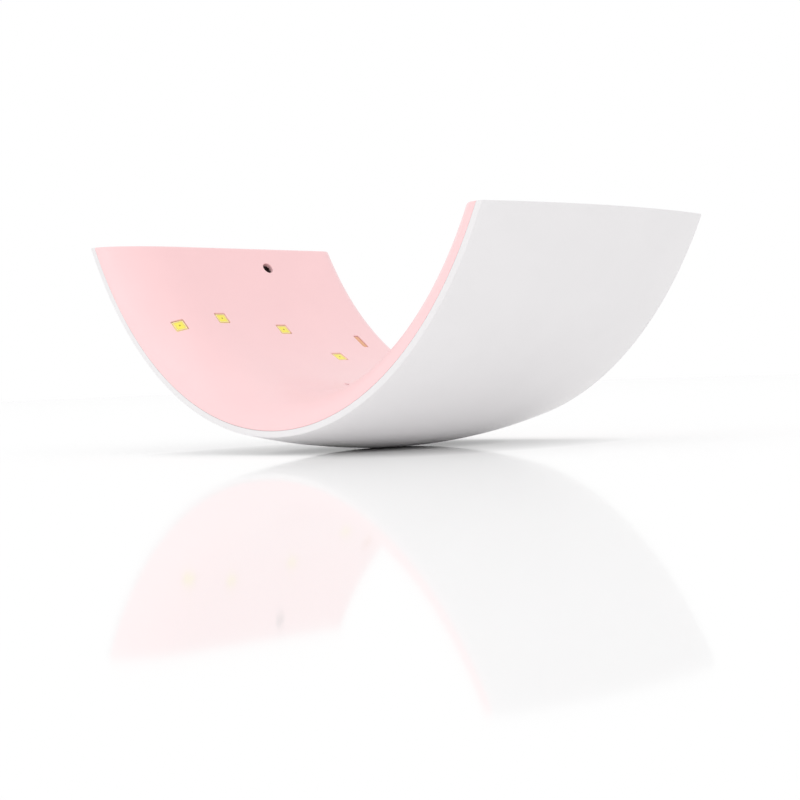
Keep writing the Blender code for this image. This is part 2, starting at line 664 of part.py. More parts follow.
def make_components():
    component("indicator_led", 0, PIPE_Y, INDICATOR_SIZE, INDICATOR_SIZE, INDICATOR_HEIGHT, CLEAR)
    pipe_top = COMPONENT_TOP - INDICATOR_HEIGHT - SEAT
    collar = PIPE_RADIUS + PIPE_COLLAR
    collar_low = crown_height(collar, PIPE_Y - collar, shell_back(PIPE_Y - collar)) + SEAT
    foot = crown_height(PIPE_RADIUS, PIPE_Y - PIPE_RADIUS, skin(PIPE_Y - PIPE_RADIUS)) + SOLDER
    profile = [(0, pipe_top), (PIPE_RADIUS, pipe_top), (PIPE_RADIUS, collar_low + PIPE_COLLAR),
               (collar, collar_low + PIPE_COLLAR), (collar, collar_low), (PIPE_RADIUS, collar_low),
               (PIPE_RADIUS, foot), (0, foot)]
    finish(turned("light_pipe", upright(0, PIPE_Y), profile), CLEAR, 0.1)

    row = BOARD_REAR - DRIVER_REAR
    component("timer_chip", CHIP_SIDE, row - DRIVER_WIDTH - CHIP_LENGTH, CHIP_WIDTH, CHIP_LENGTH, CHIP_HEIGHT, BLACK)
    for name, side in LEFT_RIGHT:
        component("led_driver_" + name, side * DRIVER_SIDE, row, DRIVER_LENGTH, DRIVER_WIDTH, DRIVER_HEIGHT, BLACK)
        component("sense_resistor_" + name, side * DRIVER_SIDE, row + DRIVER_WIDTH + RESISTOR_WIDTH,
                  RESISTOR_LENGTH, RESISTOR_WIDTH, RESISTOR_HEIGHT, BLACK)
    low = COMPONENT_TOP - CAPACITOR_HEIGHT
    neck = 0.9 * CAPACITOR_RADIUS
    profile = [(0, COMPONENT_TOP), (CAPACITOR_RADIUS, COMPONENT_TOP),
               (CAPACITOR_RADIUS, COMPONENT_TOP - CAPACITOR_FOOT), (neck, COMPONENT_TOP - CAPACITOR_FOOT),
               (neck, low), (0, low)]
    place = upright(-CHIP_SIDE - SEAT, row - DRIVER_WIDTH - CHIP_LENGTH)
    finish(turned("filter_capacitor", place, profile), STEEL, 0.3, 1.0)


def make_leads():
    """Two leads on each side, from the control board's top face to the back of the LED board."""
    board_point = Vector((BOARD_WIDTH / 2 - LEAD_LAP, 0, BOARD_TOP + SEAT + LEAD_RADIUS))
    offset = LINER_BACK - SEAT - LED_BOARD - SEAT - LEAD_RADIUS
    lap_start = wall(LED_BOARD_CROWN + LEAD_LAP, 0, offset)
    lap_end = wall(LED_BOARD_CROWN, 0, offset)
    controls = [board_point, board_point + Vector((LEAD_BEND, 0, 0)),
                lap_end + (lap_end - lap_start).normalized() * LEAD_BEND, lap_end]
    path = []
    for f in np.linspace(0, 1, LEAD_POINTS):
        shares = ((1 - f) ** 3, 3 * f * (1 - f) ** 2, 3 * f * f * (1 - f), f ** 3)
        path.append(sum((point * share for point, share in zip(controls, shares)), Vector()))
    path.append(lap_start)
    rows = (("supply", -LEAD_SPACING / 2, RED), ("return", LEAD_SPACING / 2, BLACK))
    for name, side in LEFT_RIGHT:
        for kind, y, colour in rows:
            curve = bpy.data.curves.new(f"{kind}_lead_{name}", "CURVE")
            curve.dimensions = "3D"
            curve.bevel_depth = LEAD_RADIUS
            curve.bevel_resolution = 2
            curve.use_fill_caps = True
            spline = curve.splines.new("POLY")
            spline.points.add(len(path) - 1)
            for point, place in zip(spline.points, path):
                point.co = (side * place.x, y, place.z, 1)
            finish(add(curve.name, curve), colour, 0.5)


make_outer_shell()
make_liner()
make_led_boards()
make_leds()
make_sensors()
make_case_screws()
make_control_board()
make_button_and_switch()
make_socket()
make_components()
make_leads()
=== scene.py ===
"""Looks of the arch-shaped UV LED nail lamp, lying on its crown with both feet up.

The shell, liner, LEDs, sensor lenses, case screws, button, light pipe and power socket are modelled
here with their rounded edges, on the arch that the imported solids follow. The other nodes keep their
solids and get their finish here. All sizes are in metres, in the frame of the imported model.
"""
import json
import math

import bmesh
import bpy
import numpy as np
from mathutils import Color, Matrix, Vector


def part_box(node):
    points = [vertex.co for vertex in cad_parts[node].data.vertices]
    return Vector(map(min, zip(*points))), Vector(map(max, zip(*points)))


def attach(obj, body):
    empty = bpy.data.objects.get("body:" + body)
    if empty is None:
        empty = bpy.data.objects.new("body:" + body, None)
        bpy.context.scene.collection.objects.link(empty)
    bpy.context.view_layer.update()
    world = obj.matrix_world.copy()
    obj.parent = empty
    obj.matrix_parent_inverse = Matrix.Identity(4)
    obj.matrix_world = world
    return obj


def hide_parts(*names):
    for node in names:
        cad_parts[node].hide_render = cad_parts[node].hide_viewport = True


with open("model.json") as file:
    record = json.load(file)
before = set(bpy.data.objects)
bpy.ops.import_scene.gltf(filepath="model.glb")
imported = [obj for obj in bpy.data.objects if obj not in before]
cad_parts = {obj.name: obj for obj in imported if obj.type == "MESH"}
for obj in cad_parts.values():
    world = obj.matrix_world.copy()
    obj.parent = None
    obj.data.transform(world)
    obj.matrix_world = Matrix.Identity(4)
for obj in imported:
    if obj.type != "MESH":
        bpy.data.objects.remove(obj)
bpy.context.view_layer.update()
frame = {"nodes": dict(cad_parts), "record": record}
nodes = frame["nodes"]

# Camera
CAMERA_PLACE = (0.29480, -0.29133, 0.01662)
CAMERA_HEADING = 44.958   # degrees from +Y towards -X
CAMERA_PITCH = -0.838     # degrees above the horizon
CAMERA_ROLL = -1.980
CAMERA_LENS = 82.27       # in mm, as the sensor is
CAMERA_SENSOR = 36
CAMERA_NEAR = 0.01

# Light and floor
SKY_SEEN = 1.0            # white
SKY_LIGHT = 0.83
KEY_LIGHT = 0.42
KEY_AIM = (-0.35, 0.35, -0.85)
FRONT_LIGHT = 0.66
FRONT_AIM = (-0.1, 1, 0.05)
LIGHT_SPREAD = math.radians(80)
FLOOR_SIZE = 3.0
FLOOR_COLOUR = 0.98
FLOOR_LIFT = 0.182        # brings the open floor up to white
FLOOR_GLOW = 0.30         # of a lit table, on the underside of the object
PAINTED_SHADE_REACH = 0.016       # reach of the painted shade that darkens the floor's colour where the object stands
# darkness of that painted shade on the floor
PAINTED_SHADE_DEPTH = 0.50
CONTACT_REACH = 0.0035    # of the dark line under the object, where the floor's glow fades out: painted shade on the floor where it is seen, and less light on the object's underside
FLOOR_GLOSS = 0.42
FLOOR_ROUGHNESS = 0.05

# Overall form
SHELL_LOW, SHELL_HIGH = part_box("outer_shell")
WIDTH = SHELL_HIGH.x - SHELL_LOW.x
DEPTH = SHELL_HIGH.y - SHELL_LOW.y
HEIGHT = SHELL_HIGH.z
FOOT_LEAN = math.radians(23.8)   # of the wall at a foot, from upright
ARCH_WEIGHT = 0.87        # fullness of the conic arc from crown to foot
BARREL = 0.00385          # how far the middle of the shell stands out past its rims
HALF_DEPTH = DEPTH / 2
CORNER = WIDTH / 2 - HEIGHT * math.tan(FOOT_LEAN)   # where the lines of crown and foot meet

# Walls
SHELL_WALL = 0.0014
LINER_WALL = 0.0015
FOOT_WALL = 0.0018        # flange of the liner that closes the room at a foot
FRONT_LIP = 0.0185        # depth over which the liner curves out to the front rim
REAR_LIP = 0.0055
SEAM = 0.00004            # between shell and liner
HEAD_ROOM = 0.0003        # between the board screws and the liner
LINER_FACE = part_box("board_screw_1")[1].z + HEAD_ROOM + LINER_WALL
THROUGH = 2 * LINER_WALL  # depth of a cut through the liner

# Edges
RIM_ROUND = 0.00022       # outer edge of the shell's rims
SEAM_ROUND = 0.00009      # edges along the seam
LEAST_ROUND = SEAM_ROUND / 4   # what an inset leaves of these
FOOT_ROUND = 0.00035      # edges of the feet
FOOT_BORDER = 1.3         # inset of the foot's flat middle, as a share of that rounding
FLARE = 0.00012           # chamfer round the openings
WINDOW_CLEAR = 3 * FLARE  # how far the cut of a window goes on above the curved face

# LEDs
LEDS_PER_SIDE = 4
LED_SIZE = 0.0027
LED_HEIGHT = 0.00145
LED_RECESS = 0.0001       # below the face of the liner
LED_CORNER = 0.0002
LED_EDGE = 0.00005        # chamfer of the package
LED_RIM = 0.00022         # wall of the package round the phosphor
LED_FLANGE = 0.0002       # wider foot of the package
LED_STEP = 0.00025        # of that foot below the top
WINDOW_GAP = 0.0003       # round an LED in its window
WINDOW_CORNER = 0.00030
PHOSPHOR_GAP = 0.00001    # under the phosphor
PHOSPHOR_MOUND = ((1.0, 1.0), (1.5, 0.5), (3.0, 0.25))   # shares of its inset and of the chamfer
DIE_SIZE = 0.0004
DIE_TOP = 0.00001         # of the die's side below the top of the package

# Sensor lenses
LENS_LENGTH = 0.0043
LENS_WIDTH = 0.0013
LENS_DEPTH = 0.0009
LENS_RECESS = 0.00015
LENS_GAP = 0.0002
LENS_EDGE = LENS_RECESS / 4
LENS_CROWN = ((0, 2), (1 / 2, 1), (2, 1 / 3), (5, 0))    # inset and sinking in such edges

# Vent holes
VENT_RADIUS = 0.0008
VENT_CROWN = 0.0133       # along the arch from the crown
VENT_REAR = 0.0377        # from the rear rim

# Case screws and their cups
SCREW_HEAD_RADIUS = 0.0012
SCREW_HEAD = 0.0011
SCREW_RADIUS = 0.0007
SCREW_DOME = 0.0007       # rise of the round head
SCREW_DOME_ANGLE = math.radians(78)
HEAD_SEAT = 0.0001        # of the head above the floor of its cup
THREAD_PITCH = 0.0005
THREAD_DEPTH = 0.00012
CROSS_LENGTH = 0.0013
CROSS_WIDTH = 0.0004
CROSS_DEPTH = 0.0006
CROSS_TAPER = 0.00012
CUP_RADIUS = 0.0014
CUP_DEPTH = 0.0016        # from the face of the liner to the floor of the cup
CUP_FLOOR = 0.0012
CUP_WALL = 0.0012
SHANK_HOLE = 0.0009       # radius

# Stands of the shell
BOSS_RADIUS = 0.0025
POST_COUNT = 4
POST_RADIUS = 0.0022
SEAT = 0.0003             # between a piece and what carries it

# Timer button
BUTTON_RADIUS = 0.0055
BUTTON_GAP = 0.0003
BUTTON_RECESS = 0.00015
BUTTON_EDGE = 0.0003
BUTTON_DISH = 0.0002
BUTTON_FLANGE = 0.0008    # thickness

# Light pipe
PIPE_RADIUS = 0.0012
PIPE_GAP = 0.0002
PIPE_RECESS = 0.0001
PIPE_EDGE = 0.0003
PIPE_COLLAR = 0.0008      # thickness

# Power socket
SOCKET_GAP = 0.0003       # round it in its notch
NOTCH_CORNER = 0.0005
SOCKET_METAL = 0.0003
SOCKET_CHAMFER = 0.0008   # slanted lower corners
SOCKET_CORNER = 0.0003
MOUTH_LENGTH = 0.0006     # of the flare at the opening
MOUTH_FLARE = 0.00012     # outward
MOUTH_EDGE = 0.00008      # inner edge of the opening, inward
CONTACTS = 5
CONTACT_PITCH = 0.00065
CONTACT_WIDTH = 0.0003
CONTACT_LENGTH = 0.0026
CONTACT_CORNER = 0.00005
CONTACT_INSET = 0.0016    # of its middle from the end of the tongue
CONTACT_DROP = 0.00033    # below the middle of the tongue
CONTACT_LOW = -0.00005    # faces below and above that
CONTACT_HIGH = 0.00002

# Surfaces
MOTTLE_SCALE = 60.0       # of the noise, as the next scales are
MOTTLE_DETAIL = 3.0
GLOSS_SCALE = 220.0
GLOSS_DETAIL = 4.0
GLOSS_SPREAD = 0.05       # of the roughness, either way
GRAIN_SCALE = 3500.0
FINE_GRAIN_SCALE = 9000.0
GRAIN_DETAIL = 2.0
GRAIN_DEPTH = 0.00001
GRAIN_STRENGTH = 0.5
COAT_ROUGHNESS = 0.2

# Fineness
ARCH_SAMPLES = 801
ARCH_RINGS = 180
ROOM_RINGS = 90
DEPTH_STEPS = 36
LIP_STEPS = 18
ROUND_STEPS = 48
EDGE_STEPS = 4
DOME_STEPS = 8
DISH_STEPS = 9
DISH_START = 0.1          # innermost ring of a dish, as a share of its radius
HALVINGS = 45             # of a search for a value
PLACE_ROUNDS = 4          # of finding a node's place on the curved face
SLOPE_STEP = DEPTH / 1000   # over which the slope of the face is taken
WELD = 0.000001           # edges and slivers below this are taken out after a cut
SHARP = 32                # degrees between faces from which an edge is hard
LENS_SHARP = 60

SIDES = {"left": -1, "right": 1}
EDGE_ANGLES = np.linspace(0, math.pi / 2, EDGE_STEPS + 1)[1:]
# Stands outlines upright, facing +Y
REARWARD = Matrix(((1, 0, 0, 0), (0, 0, 1, 0), (0, 1, 0, 0), (0, 0, 0, 1)))


# The arch and its walls
def arch(share):
    """Point and inward normal of the middle outer profile, from -1 at the left foot to 1 at the right."""
    part = abs(share)
    side = -1.0 if share < 0 else 1.0
    corner = 2 * ARCH_WEIGHT * part * (1 - part)
    total = (1 - part) ** 2 + corner + part * part
    x = (corner * CORNER + part * part * WIDTH / 2) / total
    z = part * part * HEIGHT / total
    corner_rate = 2 * ARCH_WEIGHT * (1 - 2 * part)
    total_rate = corner_rate + 4 * part - 2
    x_rate = corner_rate * CORNER + part * WIDTH - x * total_rate
    z_rate = 2 * part * HEIGHT - z * total_rate
    speed = math.hypot(x_rate, z_rate)
    return Vector((side * x, 0, z)), Vector((-side * z_rate / speed, 0, x_rate / speed))


ARCH_SHARES = np.linspace(0, 1, ARCH_SAMPLES)
ARCH_POINTS = np.array([arch(share)[0] for share in ARCH_SHARES])
ARCH_LENGTHS = np.append(0, np.cumsum(np.linalg.norm(np.diff(ARCH_POINTS, axis=0), axis=1)))
HALF_ARCH = float(ARCH_LENGTHS[-1])


def arch_at(along):
    """Point and inward normal at a distance along the arch from the crown, negative to the left."""
    return arch(math.copysign(float(np.interp(abs(along), ARCH_LENGTHS, ARCH_SHARES)), along))


def tangent(normal):
    """Direction along the arch, to the right, where it has that normal."""
    return Vector((normal.z, 0, -normal.x))


def wall(along, y, offset):
    """Point at a distance along the arch, a depth y and an offset inward from the middle outer profile."""
    point, normal = arch_at(along)
    return point + normal * offset + Vector((0, y, 0))


def halved(is_past, low, high):
    """Value between low and high where is_past turns true."""
    for _ in range(HALVINGS):
        middle = (low + high) / 2
        if is_past(middle):
            high = middle
        else:
            low = middle
    return low


def arch_reach(offset, top):
    """Distance along the arch at which the wall at that offset comes up to a height."""
    return halved(lambda along: wall(along, 0, offset).z > top, 0, HALF_ARCH)


def crown_height(x, y, offset):
    """Height of the wall at that offset above the plan point x, y near the crown."""
    reach = halved(lambda along: wall(along, y, offset).x > abs(x), 0, HALF_ARCH)
    return wall(reach, y, offset).z


def skin(y):
    """Offset of the shell's outer skin at depth y."""
    return BARREL * (y / HALF_DEPTH) ** 2


def shell_back(y):
    """Offset of the shell's inner face at depth y."""
    return skin(y) + SHELL_WALL


def liner_edge(y):
    """Offset of the liner's outer edge at depth y."""
    return shell_back(y) + SEAM


RIM = liner_edge(HALF_DEPTH)
RISE = LINER_FACE - RIM


def lip(length, inset):
    """Quarter ellipse of a lip, as pairs of distance from its rim and offset, from the rim inward."""
    pairs = []
    for angle in np.linspace(0, math.pi / 2, LIP_STEPS + 1):
        pairs.append((length - (length - inset) * math.cos(angle), RIM + (RISE - inset) * math.sin(angle)))
    return pairs


def face_offset(y):
    """Offset of the liner's face at depth y."""
    if y + HALF_DEPTH < FRONT_LIP:
        share = (FRONT_LIP - HALF_DEPTH - y) / FRONT_LIP
    elif HALF_DEPTH - y < REAR_LIP:
        share = (REAR_LIP - HALF_DEPTH + y) / REAR_LIP
    else:
        share = 0
    return RIM + RISE * math.sqrt(max(1 - share * share, 0))


def face_frame(along, y):
    """Frame on the liner's face: X along the arch, Y to the rear and Z out of the face."""
    slope = (face_offset(y + SLOPE_STEP) - face_offset(y - SLOPE_STEP)) / (2 * SLOPE_STEP)
    normal = arch_at(along)[1]
    across = tangent(normal)
    back = (Vector((0, 1, 0)) + normal * slope).normalized()
    place = Matrix((across, back, across.cross(back))).transposed().to_4x4()
    place.translation = wall(along, y, face_offset(y))
    return place


def middle_of(node):
    """Middle of a node's box."""
    low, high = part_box(node)
    return (low + high) / 2


def node_frame(node, depth):
    """Frame on the liner's face over a CAD node whose middle is that deep below the face."""
    middle = middle_of(node)
    flat = Vector((abs(middle.x), 0, middle.z))

    def is_past(along):
        point, normal = arch_at(along)
        return tangent(normal).dot(flat - point) < 0

    along = math.copysign(halved(is_past, 0, HALF_ARCH), middle.x)
    y = middle.y
    for _ in range(PLACE_ROUNDS):
        y = middle.y + face_frame(along, y).col[2].y * depth
    return face_frame(along, y)


# Outlines
def rounded(outline, corners, radius):
    """The outline with the corners at those indices rounded by an arc."""
    result = []
    for i, point in enumerate(outline):
        if i not in corners:
            result.append(point)
            continue
        corner = Vector(point)
        before = (Vector(outline[i - 1]) - corner).normalized()
        after = (Vector(outline[(i + 1) % len(outline)]) - corner).normalized()
        half = before.angle(after) / 2
        run = radius / math.tan(half)
        for share in np.linspace(0, 1, EDGE_STEPS + 1):
            first = (1 - share) ** 2
            middle = 2 * share * (1 - share) * math.sin(half)
            last = share * share
            spot = (corner + before * run) * first + corner * middle + (corner + after * run) * last
            result.append(tuple(spot / (first + middle + last)))
    return result


def box_outline(length, width, corner):
    """Rounded rectangle at any growth, whose corners stay round when it shrinks."""
    def outline(grow):
        x = length / 2 + grow
        y = width / 2 + grow
        points = [(-x, -y), (x, -y), (x, y), (-x, y)]
        return rounded(points, range(len(points)), max(corner + grow, corner / 4))
    return outline


def circle_outline(radius):
    """Circle at any growth, turned by half a step so that no corner lies on an axis."""
    def outline(grow):
        angles = np.linspace(0, 2 * math.pi, ROUND_STEPS, endpoint=False) + math.pi / ROUND_STEPS
        return [((radius + grow) * math.cos(angle), (radius + grow) * math.sin(angle)) for angle in angles]
    return outline


def cross_outline(length, width):
    """Cross recess at any growth, as the same three corners at each quarter turn."""
    def outline(grow):
        reach = length / 2 + grow
        half = width / 2 + grow
        corners = ((reach, -half), (reach, half), (half, half))
        points = []
        for turn in range(4):
            quarter = Matrix.Rotation(turn * math.pi / 2, 2)
            points += [tuple(quarter @ Vector(corner)) for corner in corners]
        return points
    return outline


# Solids
def close(shape, rows, ring=False):
    """Adds the faces between rows of vertices, closed by caps or, as a ring, back to the first row."""
    pairs = list(zip(rows, rows[1:]))
    if ring:
        pairs.append((rows[-1], rows[0]))
    else:
        shape.faces.new(rows[0])
        shape.faces.new(rows[-1])
    for low, high in pairs:
        for i in range(len(low)):
            shape.faces.new((low[i - 1], low[i], high[i], high[i - 1]))


def stack(shape, place, outline, levels, ring=False):
    """Adds a solid: the outline at each (growth, height) level, closed by caps or back to its start."""
    rows = []
    for grow, z in levels:
        rows.append([shape.verts.new(place @ Vector((x, y, z))) for x, y in outline(grow)])
    close(shape, rows, ring)


def flared(depth, clear):
    """Levels of a cut that deep into a face, which opens at 45 degrees until it is clear of the face."""
    return [(0, -depth), (0, -FLARE), (FLARE + clear, clear)]


def loft(shape, section, top, rings, edge=0.0):
    """Adds a solid swept along the arch from foot to foot, with its foot edges rounded where edge is given.

    The section is asked for at each inset, as pairs of depth and offset.
    """
    ends = [(0.0, top - edge)]
    if edge:
        for angle in EDGE_ANGLES:
            ends.append((edge * (1 - math.cos(angle)), top - edge * (1 - math.sin(angle))))
        ends.append((FOOT_BORDER * edge, top))

    def row(inset, height, side):
        points = [wall(side * arch_reach(offset, height), y, offset) for y, offset in section(inset)]
        return [shape.verts.new(point) for point in points]

    rows = [row(inset, height, -1) for inset, height in reversed(ends)]
    outline = [(y, offset, arch_reach(offset, top - edge)) for y, offset in section(0.0)]
    for share in np.linspace(-1, 1, rings + 1)[1:-1]:
        rows.append([shape.verts.new(wall(share * reach, y, offset)) for y, offset, reach in outline])
    close(shape, rows + [row(inset, height, 1) for inset, height in ends])


def crown_plug(shape, spot, rings, levels):
    """Adds a round solid through the crown: (radius, depth) rings along the skin, then flat levels."""
    rows = []
    for radius, depth in rings:
        row = []
        for x, y in circle_outline(radius)(0):
            place = Vector((spot.x + x, spot.y + y, 0))
            place.z = crown_height(place.x, place.y, skin(place.y)) + depth
            row.append(shape.verts.new(place))
        rows.append(row)
    for radius, z in levels:
        rows.append([shape.verts.new((spot.x + x, spot.y + y, z)) for x, y in circle_outline(radius)(0)])
    close(shape, rows)


def domed(radius, edge, dish):
    """Rings of a crown plug, from its middle out: a dish, or a dome if negative, and a rounded edge."""
    rings = []
    for share in np.linspace(DISH_START, 1, DISH_STEPS):
        rings.append((share * (radius - edge), dish * (1 - share * share) ** 2))
    for angle in EDGE_ANGLES:
        rings.append((radius - edge + edge * math.sin(angle), edge * (1 - math.cos(angle))))
    return rings


# Pieces
def piece(name, shape):
    """Object made of a shape, which is used up."""
    mesh = bpy.data.meshes.new(name)
    bmesh.ops.recalc_face_normals(shape, faces=shape.faces)
    shape.to_mesh(mesh)
    shape.free()
    made = bpy.data.objects.new(name, mesh)
    bpy.context.scene.collection.objects.link(made)
    return made


def stacked(name, place, outline, levels, ring=False):
    """Object made of one stack."""
    shape = bmesh.new()
    stack(shape, place, outline, levels, ring)
    return piece(name, shape)


def combine(body, tool, operation):
    """Joins or cuts a piece with a tool, which is used up."""
    modifier = body.modifiers.new(tool.name, "BOOLEAN")
    modifier.operation = operation
    modifier.object = tool
    modifier.solver = "EXACT"
    bpy.context.view_layer.update()
    mesh = bpy.data.meshes.new_from_object(body.evaluated_get(bpy.context.evaluated_depsgraph_get()))
    shape = bmesh.new()
    shape.from_mesh(mesh)
    bmesh.ops.dissolve_degenerate(shape, edges=shape.edges, dist=WELD)
    shape.to_mesh(mesh)
    shape.free()
    body.modifiers.clear()
    body.data = mesh
    bpy.data.objects.remove(tool)


def dress(made, material, body, slot, *replaced, sharp=SHARP):
    """Gives a piece its finish and its body, and hides the CAD nodes that it stands for."""
    made.data.shade_smooth()
    made.data.set_sharp_from_angle(angle=math.radians(sharp))
    made.data.materials.clear()
    made.data.materials.append(material)
    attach(made, body)
    if replaced:
        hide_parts(*replaced)


# Materials
def srgb(red, green, blue):
    """Linear colour of a colour given in screen values from 0 to 255."""
    return tuple(Color((red / 255, green / 255, blue / 255)).from_srgb_to_scene_linear())


def finish(name, colour, roughness, metallic=0.0, mottle=0.03, grain=GRAIN_SCALE, coat=0.0, specular=0.5):
    """Moulded or metal surface: slight mottling of colour, uneven gloss and a fine grain."""
    material = bpy.data.materials.new(name)
    material.use_nodes = True
    tree = material.node_tree
    shader = tree.nodes["Principled BSDF"]
    shader.inputs["Metallic"].default_value = metallic
    shader.inputs["Specular IOR Level"].default_value = specular
    shader.inputs["Coat Weight"].default_value = coat
    shader.inputs["Coat Roughness"].default_value = COAT_ROUGHNESS
    places = tree.nodes.new("ShaderNodeTexCoord").outputs["Object"]

    def noise(scale, detail):
        node = tree.nodes.new("ShaderNodeTexNoise")
        node.inputs["Scale"].default_value = scale
        node.inputs["Detail"].default_value = detail
        tree.links.new(places, node.inputs["Vector"])
        return node.outputs["Fac"]

    mix = tree.nodes.new("ShaderNodeMix")
    mix.data_type = "RGBA"
    mix.inputs["A"].default_value = (*(channel * (1 - mottle) for channel in colour), 1)
    mix.inputs["B"].default_value = (*(min(channel * (1 + mottle), 1) for channel in colour), 1)
    tree.links.new(noise(MOTTLE_SCALE, MOTTLE_DETAIL), mix.inputs["Factor"])
    tree.links.new(mix.outputs["Result"], shader.inputs["Base Color"])
    level = tree.nodes.new("ShaderNodeMapRange")
    level.inputs["To Min"].default_value = roughness - GLOSS_SPREAD
    level.inputs["To Max"].default_value = roughness + GLOSS_SPREAD
    tree.links.new(noise(GLOSS_SCALE, GLOSS_DETAIL), level.inputs["Value"])
    tree.links.new(level.outputs["Result"], shader.inputs["Roughness"])
    bumps = tree.nodes.new("ShaderNodeBump")
    bumps.inputs["Distance"].default_value = GRAIN_DEPTH
    bumps.inputs["Strength"].default_value = GRAIN_STRENGTH
    tree.links.new(noise(grain, GRAIN_DETAIL), bumps.inputs["Height"])
    tree.links.new(bumps.outputs["Normal"], shader.inputs["Normal"])
    return material


SHELL_FINISH = finish("shell_white", srgb(233, 231, 232), roughness=0.34)
LINER_FINISH = finish("liner_pink", srgb(251, 210, 212), roughness=0.34, coat=0.3)
BUTTON_FINISH = finish("button_white", srgb(238, 238, 236), roughness=0.30)
PHOSPHOR_FINISH = finish(
    "led_phosphor", srgb(251, 238, 92), roughness=0.30, mottle=0.06, grain=FINE_GRAIN_SCALE)
PACKAGE_FINISH = finish("led_package", srgb(252, 238, 172), roughness=0.40)
DIE_FINISH = finish("led_die", srgb(168, 146, 40), roughness=0.30, mottle=0.10)
LENS_FINISH = finish("lens_amber", srgb(232, 170, 124), roughness=0.20, mottle=0.08)
# black case screws, darkened and tinted maroon as painted shade of the deep pink cups they sit in
BLACK_SCREW_AND_PAINTED_SHADE_FINISH = finish("screw_black_and_painted_shade", srgb(32, 17, 17), roughness=0.60, mottle=0.12, specular=0.15)
STEEL_FINISH = finish("screw_steel", srgb(190, 190, 194), roughness=0.32, metallic=1.0, mottle=0.06)
SOCKET_FINISH = finish("socket_steel", srgb(200, 200, 203), roughness=0.26, metallic=1.0, mottle=0.05)
CONTACT_FINISH = finish("contact_gold", srgb(226, 190, 110), roughness=0.25, metallic=1.0, mottle=0.05)
BLACK_FINISH = finish("component_black", srgb(34, 34, 36), roughness=0.45, mottle=0.15)
GREEN_FINISH = finish("board_green", srgb(24, 98, 62), roughness=0.38, mottle=0.14)
WHITE_BOARD_FINISH = finish("board_white", srgb(232, 232, 226), roughness=0.45, mottle=0.04)
CAN_FINISH = finish("capacitor_can", srgb(196, 196, 200), roughness=0.30, metallic=1.0, mottle=0.05)
CLEAR_FINISH = finish("clear_resin", srgb(232, 238, 242), roughness=0.10)
RED_FINISH = finish("lead_red", srgb(190, 34, 34), roughness=0.50, mottle=0.08)


def dress_solids():
    """Finish of the CAD nodes, of which those that are modelled again below are hidden."""
    finishes = {
        "component_black": BLACK_FINISH, "board_green": GREEN_FINISH, "board_white": WHITE_BOARD_FINISH,
        "screw_steel": STEEL_FINISH, "capacitor_can": CAN_FINISH, "clear_resin": CLEAR_FINISH,
        "lead_red": RED_FINISH, "lead_black": BLACK_FINISH, "lens_brown": LENS_FINISH,
        "led_yellow": PHOSPHOR_FINISH, "socket_steel": SOCKET_FINISH, "shell_white": SHELL_FINISH,
        "liner_pink": LINER_FINISH, "button_white": BUTTON_FINISH,
    }
    for part in frame["record"]["subparts"]:
        mesh = nodes[part["node"]].data
        mesh.materials.clear()
        mesh.materials.append(finishes[part["material_slot"]])


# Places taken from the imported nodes
LED_NAMES = [f"{side}_{n}" for side in SIDES for n in range(1, LEDS_PER_SIDE + 1)]
LED_FRAMES = {name: node_frame("uv_led_" + name, LED_RECESS + LED_HEIGHT / 2) for name in LED_NAMES}
LENS_FRAMES = {side: node_frame("sensor_lens_" + side, LENS_RECESS + LENS_DEPTH / 2) for side in SIDES}
SCREW_FRAMES = {side: node_frame("case_screw_" + side, 0) for side in SIDES}
BUTTON_AT = middle_of("timer_button")
PIPE_AT = middle_of("light_pipe")
POSTS = [middle_of(f"board_screw_{n}") for n in range(1, POST_COUNT + 1)]
BOARD_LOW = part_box("control_board")[0].z


# Shell
def shell_section(inset):
    """Section of the shell from rim to rim, out along its skin and back along its inner face."""
    reach = HALF_DEPTH - inset
    depths = np.linspace(-reach, reach, DEPTH_STEPS + 1)
    outline = [(y, skin(y) + inset) for y in depths]
    outline += [(y, shell_back(y) - inset) for y in reversed(depths)]
    last = len(outline) - 1
    outline = rounded(outline, (DEPTH_STEPS + 1, last), max(SEAM_ROUND - inset, LEAST_ROUND))
    return rounded(outline, (0, DEPTH_STEPS), max(RIM_ROUND - inset, LEAST_ROUND))


def add_stands(stands, holes):
    """Adds the bosses of the case screws, the posts of the control board and the screw holes in both."""
    for place in SCREW_FRAMES.values():
        depth = place.translation.y
        low = (skin(depth) + shell_back(depth)) / 2 - LINER_FACE
        top = -CUP_DEPTH - CUP_FLOOR - SEAT
        stack(stands, place, circle_outline(BOSS_RADIUS), [(0, low), (0, top)])
        stack(holes, place, circle_outline(SHANK_HOLE), [(0, low + SHELL_WALL), (0, top + SEAT)])
    for post in POSTS:
        low = crown_height(post.x, post.y, (skin(post.y) + shell_back(post.y)) / 2)
        place = Matrix.Translation((post.x, post.y, 0))
        stack(stands, place, circle_outline(POST_RADIUS), [(0, low), (0, BOARD_LOW - SEAT)])
        stack(holes, place, circle_outline(SHANK_HOLE), [(0, low + SHELL_WALL), (0, BOARD_LOW)])


def add_crown_holes(holes):
    """Adds the holes of the button and the light pipe, with a chamfered mouth."""
    for spot, radius in ((BUTTON_AT, BUTTON_RADIUS + BUTTON_GAP), (PIPE_AT, PIPE_RADIUS + PIPE_GAP)):
        mouth = radius + 2 * FLARE
        rings = [(mouth, -SHELL_WALL), (mouth, -FLARE), (radius, FLARE)]
        crown_plug(holes, spot, rings, [(radius, BOARD_LOW - SEAT)])


